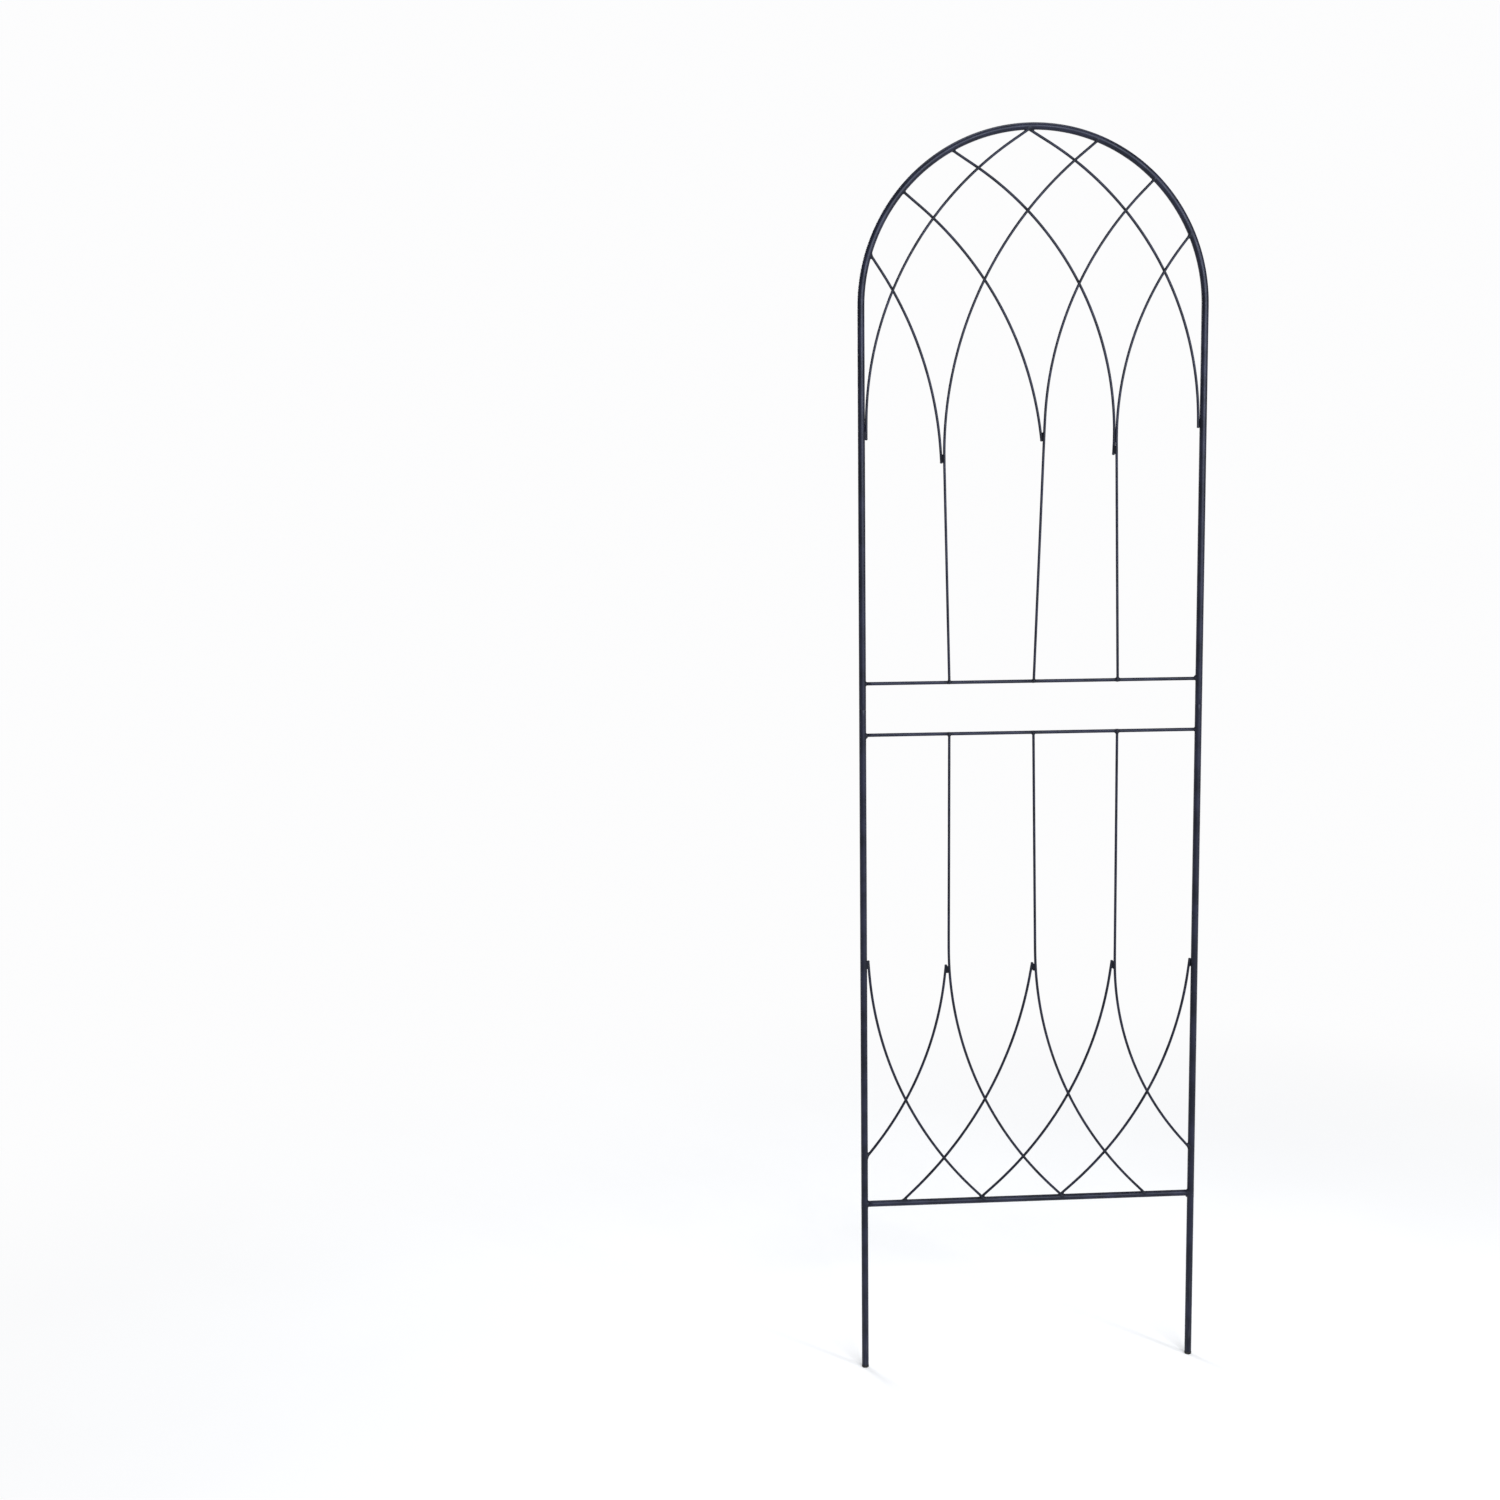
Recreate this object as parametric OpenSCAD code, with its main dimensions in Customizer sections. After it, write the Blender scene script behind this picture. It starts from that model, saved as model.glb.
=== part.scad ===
// Garden trellis arch: a flat panel of welded steel tube and wire for climbing plants.
// Two sections plug together between the two middle crossbars.
// Z points up from the tips of the legs, X runs across the panel, Y through its thickness.

/* [Frame] */
// Width over the outsides of the side tubes
panel_w = 500; // [440:10:560]
// Height from the leg tips to the top of the arch
panel_h = 1800; // [1760:10:1900]
// Outside diameter of the frame tube
tube_d = 10; // [9:0.5:12]
// Wall of the frame tube
tube_wall = 1; // [0.8:0.1:1.2]
// Outside diameter of the bottom bar
foot_bar_d = 9; // [7:0.5:9]
// Diameter of the two middle crossbars
crossbar_d = 5; // [3:0.5:6]
// Diameter of the lattice wire
wire_d = 3.8; // [2.5:0.1:4]

/* [Heights] */
// Height of the bottom bar, which is the length pushed into the ground
foot_bar_z = 251.5; // [230:0.5:270]
// Height of the crossbar that closes the lower section
lower_crossbar_z = 947.5; // [930:0.5:960]
// Height of the crossbar that starts the upper section
upper_crossbar_z = 1021.5; // [1010:0.5:1040]

/* [Plug joint] */
// Length of the swaged neck that enters the arch tube
neck_l = 32; // [20:1:36]
// Radial clearance of the neck in the arch tube
neck_clear = 0.05; // [0.02:0.01:0.1]
// Gap between the two tube ends when the sections are home
seam_gap = 0.2; // [0:0.1:0.5]

/* [Uprights] */
// Shift of the uprights on the crossbars to the right of their bay lines
upright_shift = 2.5; // [-5:0.5:5]
// Shift of each lower upright's bend to the right of its bay line
lower_bend_shift = [2, 7, 3]; // [-20:1:20]
// Rise of each lower upright's bend above the bottom bar
lower_bend_rise = [384, 374, 356]; // [340:1:440]
// Shift of each upper upright's bend to the right of its bay line
upper_bend_shift = [-5, 16, -3]; // [-20:1:20]
// Drop of each upper upright's bend below the arch's spring line
upper_bend_drop = [215, 160, 189]; // [150:1:240]

/* [Lower lattice] */
// Rise of the left-going wires' lapped starts above the bottom bar
lower_lap_rise = 357; // [340:1:365]
// Rise of the first right-going wire's lapped start above the bottom bar
lower_side_rise = 367; // [340:1:375]
// Lean of each left-going wire where it starts
lower_lean = [5, 6, 8, 4]; // [0:0.5:10]
// Lean of the first right-going wire where it starts
lower_side_lean = 2.5; // [0:0.5:10]
// Where the first three right-going wires meet the bottom bar, right of the middle
lower_right_end = [-64, 54, 178]; // [-200:1:200]
// Where the first three left-going wires meet the bottom bar, left of the middle
lower_left_end = [-43, 76, 191]; // [-200:1:200]
// Rise above the bottom bar at which the fourth wires meet the side tubes
lower_side_end = 67; // [50:1:90]

/* [Upper lattice] */
// Drop of the first right-going wire's lapped start below the arch's spring line
upper_side_drop = 185; // [170:1:200]
// Drop of each left-going wire's lapped start below the arch's spring line
upper_lap_drop = [171, 208, 188, 218]; // [168:1:225]
// Lean of the second to fourth left-going wires where they start
upper_lean = [-4, 6, 2]; // [-5:0.5:10]
// Drop of the first wires' bends, where they leave the side tubes, below the arch's spring line
upper_side_bend = 163; // [150:1:166]
// Angle from the crown at which each right-going wire meets the arch
upper_right_end = [0, 22, 44.5, 66]; // [0:0.5:80]
// Angle from the crown at which each left-going wire meets the arch
upper_left_end = [4, 29.5, 50, 72.5]; // [0:0.5:80]

/* [Hidden] */
$fn = 48;

// Frame: the side tubes' centrelines and the arch's spring line
half_w = (panel_w - tube_d) / 2;
bay = half_w / 2;
spring_z = panel_h - tube_d / 2 - half_w;
seam_z = (lower_crossbar_z + upper_crossbar_z) / 2;
bore_d = tube_d - 2 * tube_wall;
neck_d = bore_d - 2 * neck_clear;
swage_l = 12;

// Leg ends: the plug's head, and the proud ring of the bottom bar's weld
plug_h = 4;
plug_d = tube_d + 0.4;
plug_round = 1.5;
shank_l = 14;
shank_clear = 0.02;
weld_ring_d = tube_d + 0.4;
weld_ring_h = foot_bar_d + 4;

// Wires lie in two layers: right-going in front, left-going behind
layer = wire_d / 2;
lap_gap = 0.02;
side_lap = half_w - sqrt(pow((tube_d + wire_d) / 2 + lap_gap, 2) - pow(layer, 2));
lap_offset = 3.6;
bend_swell = 0.1;

// Weld beads: capsules set in from the lapped wires' ends, in the grooves beside the tubes
bead_d = 3;
bead_core = 8;
bead_in = 7;
groove_x = tube_d / 2 + 0.2;
groove_y = 0.8 * wire_d;

coat = [0.13, 0.14, 0.18];
weld_coat = [0.09, 0.10, 0.12];
plug_black = [0.05, 0.05, 0.06];

// Bay line of upright n: 1 is left, 2 the centre, 3 right
function bay_x(n) = (n - 2) * bay;

// Where upright n leaves its crossbar, and where it bends: [x, z]
function upright_base(n, z) = [bay_x(n) + upright_shift, z];
function lower_bend(n) = [bay_x(n) + lower_bend_shift[n - 1], foot_bar_z + lower_bend_rise[n - 1]];
function upper_bend(n) = [bay_x(n) + upper_bend_shift[n - 1], spring_z - upper_bend_drop[n - 1]];

// Point on the arch's centreline, by its angle from the crown
function arch_point(angle) = [half_w * sin(angle), spring_z + half_w * cos(angle)];

// Mirrored starts of left-going wires 2 to 4, lapped on the left of the uprights that they leave
function lower_lap_start(n) = [lap_offset - lower_bend(5 - n).x, foot_bar_z + lower_lap_rise];
function upper_lap_start(n) = [lap_offset - upper_bend(5 - n).x, spring_z - upper_lap_drop[n - 1]];

// Straight wire in the front layer, from [x, z] point a to point b
module straight_wire(a, b) {
    run = b - a;
    translate([a.x, -layer, a.y])
        rotate([0, atan2(run.x, run.y), 0])
            cylinder(d = wire_d, h = norm(run));
}

// Wire in the front layer that leaves start at a lean and follows one arc right to end.
// It goes up where way is 1 and down where way is -1.
module bowed_wire(start, lean, end, way) {
    chord = end - start;
    inward = [cos(lean), -way * sin(lean)];
    radius = chord * chord / (2 * chord * inward);
    centre = start + radius * inward;
    turn = 2 * asin(norm(chord) / (2 * radius));
    translate([centre.x, -layer, centre.y])
        rotate([90, 0, 0])
            rotate([0, 0, way > 0 ? 180 - lean - turn : 180 + lean])
                rotate_extrude(angle = turn)
                    translate([radius, 0])
                        circle(d = wire_d);
}

// Wire that runs straight from base to its bend, and on along an arc to end
module upright_wire(base, bend, end, way) {
    straight_wire(base, bend);
    translate([bend.x, -layer, bend.y])
        sphere(d = wire_d + bend_swell);
    bowed_wire(bend, atan2(bend.x - base.x, abs(bend.y - base.y)), end, way);
}

// What a wire drawn in the front layer becomes when it goes left in the rear layer
module rear_mirrored() {
    mirror([1, 0, 0])
        mirror([0, 1, 0])
            children();
}

// Outer shape of the frame, which the ends of bars and wires are coped to
module frame_solid(d) {
    for (side = [-1, 1])
        translate([side * half_w, 0, 0])
            cylinder(d = d, h = spring_z);
    translate([0, 0, spring_z])
        rotate([90, 0, 0])
            rotate_extrude(angle = 180)
                translate([half_w, 0])
                    circle(d = d);
}

// Round bar between the side tubes' centrelines
module bar_solid(z, d) {
    translate([-half_w, 0, z])
        rotate([0, 90, 0])
            cylinder(d = d, h = 2 * half_w);
}

// The same bar with its ends coped to side tubes of diameter side_d
module coped_bar(z, d, side_d) {
    difference() {
        bar_solid(z, d);
        for (side = [-1, 1])
            translate([side * half_w, 0, z - tube_d])
                cylinder(d = side_d, h = 2 * tube_d);
    }
}

// Leg tube: ground length, weld ring, side tube and swaged neck
module leg(side) {
    color(coat)
        translate([side * half_w, 0, 0])
            difference() {
                union() {
                    translate([0, 0, plug_h])
                        cylinder(d = tube_d, h = seam_z - plug_h);
                    translate([0, 0, foot_bar_z - weld_ring_h / 2])
                        cylinder(d = weld_ring_d, h = weld_ring_h);
                    translate([0, 0, seam_z])
                        cylinder(d = neck_d, h = neck_l);
                }
                translate([0, 0, plug_h - 1])
                    cylinder(d = bore_d, h = seam_z - swage_l - plug_h + 1);
                cylinder(d = neck_d - 2 * tube_wall, h = seam_z + neck_l + 1);
            }
}

// Plug that closes the leg's lower end, with a rounded head
module leg_plug(side) {
    color(plug_black)
        translate([side * half_w, 0, 0]) {
            translate([0, 0, plug_round]) {
                cylinder(d = plug_d, h = plug_h - plug_round);
                rotate_extrude()
                    translate([plug_d / 2 - plug_round, 0])
                        circle(r = plug_round);
            }
            cylinder(d = plug_d - 2 * plug_round, h = plug_h);
            cylinder(d = bore_d - 2 * shank_clear, h = plug_h + shank_l);
        }
}

module bottom_bar() {
    color(coat)
        difference() {
            coped_bar(foot_bar_z, foot_bar_d, weld_ring_d);
            bar_solid(foot_bar_z, foot_bar_d - 2 * tube_wall);
        }
}

module lower_crossbar() {
    color(coat)
        coped_bar(lower_crossbar_z, crossbar_d, tube_d);
}

module upper_crossbar() {
    color(coat)
        coped_bar(upper_crossbar_z, crossbar_d, tube_d);
}

// Bent tube of the arch, open at both lower ends
module arch_tube() {
    color(coat)
        difference() {
            frame_solid(tube_d);
            frame_solid(bore_d);
            translate([-panel_w, -panel_w, -1])
                cube([2 * panel_w, 2 * panel_w, seam_z + seam_gap + 1]);
        }
}

// Members that the lower wires end on
module lower_stops() {
    frame_solid(tube_d);
    bar_solid(foot_bar_z, foot_bar_d);
    bar_solid(lower_crossbar_z, crossbar_d);
}

// Members that the upper wires end on
module upper_stops() {
    frame_solid(tube_d);
    bar_solid(upper_crossbar_z, crossbar_d);
}

// Wires are numbered from the side tube that their family starts on
module lower_right_wire(n) {
    end = n == 4 ? [half_w, foot_bar_z + lower_side_end] : [lower_right_end[n - 1], foot_bar_z];
    color(coat)
        difference() {
            if (n == 1)
                bowed_wire([-side_lap, foot_bar_z + lower_side_rise], lower_side_lean, end, -1);
            else
                upright_wire(upright_base(n - 1, lower_crossbar_z), lower_bend(n - 1), end, -1);
            lower_stops();
        }
}

module lower_left_wire(n) {
    end = n == 4 ? [half_w, foot_bar_z + lower_side_end] : [lower_left_end[n - 1], foot_bar_z];
    start = n == 1 ? [-side_lap, foot_bar_z + lower_lap_rise] : lower_lap_start(n);
    color(coat)
        difference() {
            rear_mirrored()
                bowed_wire(start, lower_lean[n - 1], end, -1);
            lower_stops();
        }
}

// First wire of either upper family, lapped on the side tube from its start to its bend
module upper_side_wire(start_drop, end) {
    bend_z = spring_z - upper_side_bend;
    upright_wire([-side_lap, spring_z - start_drop], [-side_lap, bend_z], end, 1);
}

module upper_right_wire(n) {
    end = arch_point(upper_right_end[n - 1]);
    color(coat)
        difference() {
            if (n == 1)
                upper_side_wire(upper_side_drop, end);
            else
                upright_wire(upright_base(n - 1, upper_crossbar_z), upper_bend(n - 1), end, 1);
            upper_stops();
        }
}

module upper_left_wire(n) {
    end = arch_point(upper_left_end[n - 1]);
    color(coat)
        difference() {
            rear_mirrored()
                if (n == 1)
                    upper_side_wire(upper_lap_drop[0], end);
                else
                    bowed_wire(upper_lap_start(n), upper_lean[n - 2], end, 1);
            upper_stops();
        }
}

// Weld bead: an upright capsule with its middle at [x, y, z]
module bead(middle) {
    color(weld_coat)
        translate(middle) {
            translate([0, 0, -bead_core / 2])
                cylinder(d = bead_d, h = bead_core);
            for (end = [-1, 1])
                translate([0, 0, end * bead_core / 2])
                    sphere(d = bead_d);
        }
}

// Bead in the groove between a side tube and the wire lapped on it
module side_bead(side, z) {
    bead([side * (half_w - groove_x), side * groove_y, z]);
}

// Bead between upright n and the left-going wire lapped on it
module upright_bead(bend, z) {
    bead([bend.x - lap_offset / 2, 0, z]);
}

module lower_lap_welds() {
    lap_z = foot_bar_z + lower_lap_rise - bead_in;
    side_bead(-1, foot_bar_z + lower_side_rise - bead_in);
    side_bead(1, lap_z);
    for (n = [1:3])
        upright_bead(lower_bend(n), lap_z);
}

module upper_lap_welds() {
    side_bead(-1, spring_z - upper_side_drop + bead_in);
    side_bead(1, spring_z - upper_lap_drop[0] + bead_in);
    for (n = [1:3])
        upright_bead(upper_bend(n), spring_z - upper_lap_drop[4 - n] + bead_in);
}

leg(-1);  // left_leg
leg(1);  // right_leg
leg_plug(-1);  // left_leg_plug
leg_plug(1);  // right_leg_plug
bottom_bar();
lower_crossbar();
lower_right_wire(1);  // lower_right_wire_1
lower_right_wire(2);  // lower_right_wire_2
lower_right_wire(3);  // lower_right_wire_3
lower_right_wire(4);  // lower_right_wire_4
lower_left_wire(1);  // lower_left_wire_1
lower_left_wire(2);  // lower_left_wire_2
lower_left_wire(3);  // lower_left_wire_3
lower_left_wire(4);  // lower_left_wire_4
lower_lap_welds();
arch_tube();
upper_crossbar();
upper_right_wire(1);  // upper_right_wire_1
upper_right_wire(2);  // upper_right_wire_2
upper_right_wire(3);  // upper_right_wire_3
upper_right_wire(4);  // upper_right_wire_4
upper_left_wire(1);  // upper_left_wire_1
upper_left_wire(2);  // upper_left_wire_2
upper_left_wire(3);  // upper_left_wire_3
upper_left_wire(4);  // upper_left_wire_4
upper_lap_welds();
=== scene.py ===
import math

import bpy
import numpy as np
from mathutils import Matrix, Vector


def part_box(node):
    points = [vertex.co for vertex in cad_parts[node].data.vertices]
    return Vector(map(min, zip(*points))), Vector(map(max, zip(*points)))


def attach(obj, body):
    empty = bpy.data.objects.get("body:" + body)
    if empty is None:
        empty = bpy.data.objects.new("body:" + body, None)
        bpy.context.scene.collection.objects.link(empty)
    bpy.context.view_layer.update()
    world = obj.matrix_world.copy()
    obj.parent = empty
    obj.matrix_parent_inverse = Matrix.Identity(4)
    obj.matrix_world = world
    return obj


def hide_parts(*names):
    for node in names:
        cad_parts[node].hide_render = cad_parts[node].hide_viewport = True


# Looks of the garden trellis arch: powder-coated steel tube and wire, welded by hand.
# Lengths are in metres and +Z is up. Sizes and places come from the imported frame.

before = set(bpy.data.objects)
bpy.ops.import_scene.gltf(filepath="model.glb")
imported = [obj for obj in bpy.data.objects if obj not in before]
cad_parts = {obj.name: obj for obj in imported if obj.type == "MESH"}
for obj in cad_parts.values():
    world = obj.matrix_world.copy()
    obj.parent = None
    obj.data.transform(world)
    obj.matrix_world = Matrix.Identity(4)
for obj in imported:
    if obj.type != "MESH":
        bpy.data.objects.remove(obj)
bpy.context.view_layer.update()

MM = 0.001
DEEP = np.array([0.0, 1.0, 0.0])


# ---- Sizes and places, read from the CAD nodes

def middle(node):
    lo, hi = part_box(node)
    return (lo + hi) / 2


def half_size(node):
    lo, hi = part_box(node)
    return (hi - lo) / 2


def corners(node):
    """Every vertex of a CAD node."""
    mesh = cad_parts[node].data
    co = np.empty(3 * len(mesh.vertices), np.float32)
    mesh.vertices.foreach_get("co", co)
    return co.reshape(-1, 3).astype(float)


def edge_ends(node):
    """Both end points of every edge of a CAD node."""
    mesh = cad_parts[node].data
    index = np.empty(2 * len(mesh.edges), np.int32)
    mesh.edges.foreach_get("vertices", index)
    co = corners(node)
    return co[index[0::2]], co[index[1::2]]


def smallest_and_largest_radius(node, z_low, z_high):
    """Radii of an upright tube's CAD node between two heights."""
    co, axis = corners(node), middle(node)
    co = co[(co[:, 2] > z_low) & (co[:, 2] < z_high)]
    away = np.hypot(co[:, 0] - axis.x, co[:, 1] - axis.y)
    return away.min(), away.max()


HALF_W = middle("right_leg").x
TUBE_R = half_size("arch_tube").x - HALF_W
SPRING_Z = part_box("arch_tube")[1].z - TUBE_R - HALF_W
ARCH_END_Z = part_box("arch_tube")[0].z
FOOT_BAR_Z = middle("bottom_bar").z
FOOT_BAR_R = half_size("bottom_bar").z
CROSSBAR_R = half_size("lower_crossbar").z
LOWER_CROSSBAR_Z = middle("lower_crossbar").z
UPPER_CROSSBAR_Z = middle("upper_crossbar").z
SEAM_Z = (LOWER_CROSSBAR_Z + UPPER_CROSSBAR_Z) / 2
WIRE_R = half_size("lower_left_wire_1").y
LEG_FOOT_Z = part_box("left_leg")[0].z
NECK_TOP_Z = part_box("left_leg")[1].z
RING_R = half_size("left_leg").x
BORE_R = smallest_and_largest_radius("left_leg", 0, FOOT_BAR_Z)[0]
NECK_BORE_R, NECK_R = smallest_and_largest_radius("left_leg", SEAM_Z + MM, NECK_TOP_Z + MM)
PLUG_R = half_size("left_leg_plug").x
PLUG_TOP_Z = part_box("left_leg_plug")[1].z


# ---- Distances to the solid members, for points in rows

def tube_distance(p):
    """To the frame tube: both sides and the half circle of the arch."""
    over = np.hypot(p[:, 0], np.maximum(p[:, 2] - SPRING_Z, 0)) - HALF_W
    return np.hypot(over, p[:, 1]) - TUBE_R


def bar_distance(p, z, radius):
    """To a round bar that spans the frame, from tube axis to tube axis."""
    return np.maximum(np.hypot(p[:, 1], p[:, 2] - z) - radius, np.abs(p[:, 0]) - HALF_W)


def member_distance(p):
    """To the nearest member that a wire can end on."""
    bars = [
        bar_distance(p, FOOT_BAR_Z, FOOT_BAR_R),
        bar_distance(p, LOWER_CROSSBAR_Z, CROSSBAR_R),
        bar_distance(p, UPPER_CROSSBAR_Z, CROSSBAR_R),
    ]
    return np.minimum.reduce([tube_distance(p), *bars])


def path_distance(p, path, radius):
    """To a round wire along a path of straight pieces."""
    best = np.full(len(p), np.inf)
    for a, b in zip(path[:-1], path[1:]):
        run = b - a
        share = np.clip((p - a) @ run / (run @ run), 0, 1)
        best = np.minimum(best, np.linalg.norm(p - a - share[:, None] * run, axis=1))
    return best - radius


# ---- Tools for shapes

COAT_WAVE, COAT_SEED = 24 * MM, 5


def waves(p, size, seed):
    """Smooth noise, about -1 to 1, whose features are about size across."""
    rng = np.random.default_rng(seed)
    total = np.zeros(len(p))
    for _ in range(7):
        way = rng.normal(size=3)
        way *= 2 * math.pi / (size * rng.uniform(0.8, 1.9) * np.linalg.norm(way))
        total += np.sin(p @ way + rng.uniform(0, 2 * math.pi))
    return total / 3


def smooth_step(low, high, x):
    t = np.clip((x - low) / (high - low), 0, 1)
    return t * t * (3 - 2 * t)


def sweep(centres, across, radius, sides, uneven=0.02 * MM, hollow=False):
    """Skin of round rings that lie between their across vectors and Y.
    A hollow skin closes from its last ring to its first, and a solid one has end caps."""
    turn = 2 * math.pi * np.arange(sides) / sides
    out = np.cos(turn)[None, :, None] * across[:, None, :] + np.sin(turn)[None, :, None] * DEEP
    skin = centres[:, None, :] + np.asarray(radius)[:, None, None] * out
    skin, out = skin.reshape(-1, 3), out.reshape(-1, 3)
    skin = skin + uneven * waves(skin, COAT_WAVE, COAT_SEED)[:, None] * out
    count = len(centres)
    faces = []
    for i in range(count if hollow else count - 1):
        a, b = i * sides, (i + 1) % count * sides
        for j in range(sides):
            k = (j + 1) % sides
            faces.append((a + j, a + k, b + k, b + j))
    if not hollow:
        faces.append(tuple(range(sides))[::-1])
        faces.append(tuple((count - 1) * sides + j for j in range(sides)))
    return skin, faces


def along(path, stations):
    """Points and unit directions at lengths along a path."""
    steps = np.linalg.norm(np.diff(path, axis=0), axis=1)
    length = np.concatenate([[0], np.cumsum(steps)])
    points = np.stack([np.interp(stations, length, path[:, i]) for i in range(3)], -1)
    way = np.gradient(path, length, axis=0)
    ways = np.stack([np.interp(stations, length, way[:, i]) for i in range(3)], -1)
    return points, ways / np.linalg.norm(ways, axis=1)[:, None]


def path_length(path):
    return np.linalg.norm(np.diff(path, axis=0), axis=1).sum()


def skin_of(field, centre, reach, cell):
    """Closed quads round the places where field is below zero: one point in each cell that the
    skin crosses, drawn onto the skin itself."""
    cells = int(math.ceil(2 * reach / cell)) + 2
    low = centre - cell * cells / 2
    shape = (cells + 1,) * 3
    lattice = np.stack(np.meshgrid(*[np.arange(cells + 1)] * 3, indexing="ij"), -1)
    value = lobes_joined(field(low + cell * lattice.reshape(-1, 3)).reshape(shape), cell)
    total = np.zeros((cells ** 3, 3))
    hits = np.zeros(cells ** 3)
    quads = []
    for axis in range(3):
        step, u, v = np.roll(np.eye(3, dtype=int), -axis, axis=0)
        a = value[:shape[0] - step[0], :shape[1] - step[1], :shape[2] - step[2]]
        b = value[step[0]:, step[1]:, step[2]:]
        at = np.argwhere((a < 0) != (b < 0))
        before, after = a[tuple(at.T)], b[tuple(at.T)]
        point = at + step * (before / (before - after))[:, None]
        ring = [at - u - v, at - v, at, at - u]
        ring = np.stack([np.ravel_multi_index(tuple(c.T), (cells,) * 3) for c in ring], -1)
        for corner in range(4):
            np.add.at(total, ring[:, corner], point)
            np.add.at(hits, ring[:, corner], 1)
        quads.append(np.where((before < 0)[:, None], ring, ring[:, ::-1]))
    used = np.nonzero(hits)[0]
    number = np.zeros(cells ** 3, int)
    number[used] = np.arange(len(used))
    points = low + cell * total[used] / hits[used][:, None]
    return draw_onto(field, points, cell), number[np.concatenate(quads)]


def lobes_joined(value, cell):
    """Puts a corner inside wherever a lattice square has only two opposite corners inside,
    because the skins of the two would share an edge there."""
    inside, again = -0.01 * cell, True
    while again:
        again = False
        for u, v in ((0, 1), (0, 2), (1, 2)):
            grid = np.moveaxis(value, (u, v), (0, 1))
            a, b, c, d = grid[:-1, :-1], grid[1:, :-1], grid[:-1, 1:], grid[1:, 1:]
            rising = (a < 0) & (d < 0) & (b >= 0) & (c >= 0)
            falling = (b < 0) & (c < 0) & (a >= 0) & (d >= 0)
            b[rising] = inside
            a[falling] = inside
            again = again or rising.any() or falling.any()
    return value


def draw_onto(field, points, cell):
    """Moves points onto the zero of a field, by at most part of a cell."""
    start, small = points, 0.05 * cell
    for _ in range(3):
        slope = [field(points + small * e) - field(points - small * e) for e in np.eye(3)]
        slope = np.stack(slope, -1) / (2 * small)
        points = points - (field(points) / np.maximum((slope ** 2).sum(1), 0.2))[:, None] * slope
        points = start + np.clip(points - start, -0.45 * cell, 0.45 * cell)
    return points


def melt(a, b, blend):
    """Smooth union of two distances, and how much it is a blend of both, from 0 to 1."""
    mix = np.clip(1 - np.abs(a - b) / blend, 0, 1)
    return np.minimum(a, b) - blend / 4 * mix ** 2, mix


# ---- Axes of the wires, from level cuts through their CAD nodes

LEVEL_STEP = 5 * MM
CUT_IN = 8 * MM
BED_DEPTH = 1 * MM
BED_REACH = 28 * MM
RING_STEP = 5 * MM


def bedded(point, way):
    """Where a wire that goes on from point is set into the member it ends on."""
    path = point + np.arange(0, BED_REACH, 0.1 * MM)[:, None] * way
    depth = member_distance(path)
    deep = np.nonzero(depth < -BED_DEPTH)[0]
    return path[deep[0] if len(deep) else np.argmin(depth)]


def onward(points):
    """Direction in which a row of points leaves its last one."""
    way = points[-1] - points[-4]
    return way / np.linalg.norm(way)


def wire_axis(node, loose_start):
    """A wire's path from its start to its end. Every wire climbs or falls all the way, so the
    middle of a level cut through it is on its axis."""
    lo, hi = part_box(node)
    starts, ends = edge_ends(node)
    points = []
    for z in np.arange(lo.z + CUT_IN, hi.z - CUT_IN, LEVEL_STEP):
        cut = (starts[:, 2] - z) * (ends[:, 2] - z) < 0
        a, b = starts[cut], ends[cut]
        p = a + ((z - a[:, 2]) / (b[:, 2] - a[:, 2]))[:, None] * (b - a)
        points.append((p.min(0) + p.max(0)) / 2)
    points = np.array(points)
    points[:, 1] = np.median(points[:, 1])
    for _ in range(4):
        points[1:-1] = (points[:-2] + 2 * points[1:-1] + points[2:]) / 4
    start_z = lo.z
    if node.startswith("lower"):
        points, start_z = points[::-1], hi.z
    back = onward(points[::-1])
    if loose_start:
        first = points[0] + back * (start_z - points[0][2]) / back[2]
    else:
        first = bedded(points[0], back)
    path = np.vstack([first, points, bedded(points[-1], onward(points))])
    length = path_length(path)
    return along(path, np.linspace(0, length, int(round(length / RING_STEP)) + 1))[0]


def wire_names(section):
    return [f"{section}_{family}_wire_{n}" for family in ("right", "left") for n in range(1, 5)]


def starts_loose(node):
    return "_left_" in node or node.endswith("right_wire_1")


WIRES = {
    section: {node: wire_axis(node, starts_loose(node)) for node in wire_names(section)}
    for section in ("lower", "upper")
}


# ---- Welds: where they are, and the lumps that they make

# A lump sits SINK under the skins that it melts together, is rough by ROUGHNESS in features
# of ROUGH_SIZE, goes SHELL deep, and spreads over SPREAD times its blend from either solid.
WELD_CELL = 0.42 * MM
SINK = 0.05 * MM
ROUGHNESS, ROUGH_SIZE, ROUGH_SEED = 0.09 * MM, 3.2 * MM, 11
SHELL = 1.4 * MM
SPREAD = 1.1


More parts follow.
